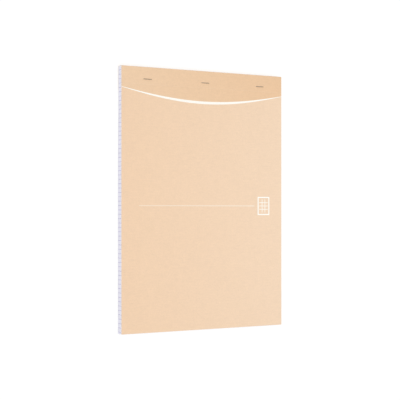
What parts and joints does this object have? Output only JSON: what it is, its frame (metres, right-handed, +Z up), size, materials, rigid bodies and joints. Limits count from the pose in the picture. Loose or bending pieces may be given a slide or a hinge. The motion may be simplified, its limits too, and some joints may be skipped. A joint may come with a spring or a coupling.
{
  "type": "notepad",
  "caption": "Head-stapled A4 writing pad: squared sheets on a stiff white-lined back board, under a card front cover that wraps over the head and opens upwards at a score line.",
  "frame": {"origin": "middle of the pad's footprint, on the surface that it lies on", "axes": "+X to the right across the sheet as it is read, +Y from the foot to the stapled head, +Z up out of the front cover"},
  "size_m": [0.21, 0.297, 0.01],
  "materials": {
    "cover_card": "matte",
    "writing_paper": "matte",
    "lined_board": "matte",
    "staple_wire": "satin"
  },
  "bodies": {
    "pad": {"cover_head": "cover_card", "page_block": "writing_paper", "back_board": "lined_board", "staples": "staple_wire"},
    "cover": {"front_cover": "cover_card"}
  },
  "joints": [
    {"name": "cover_score", "type": "hinge", "parent": "pad", "child": "cover", "pos_m": [0, 0.129, 0.00957], "axis": [-1, 0, 0], "range_deg": [0, 172]}
  ]
}
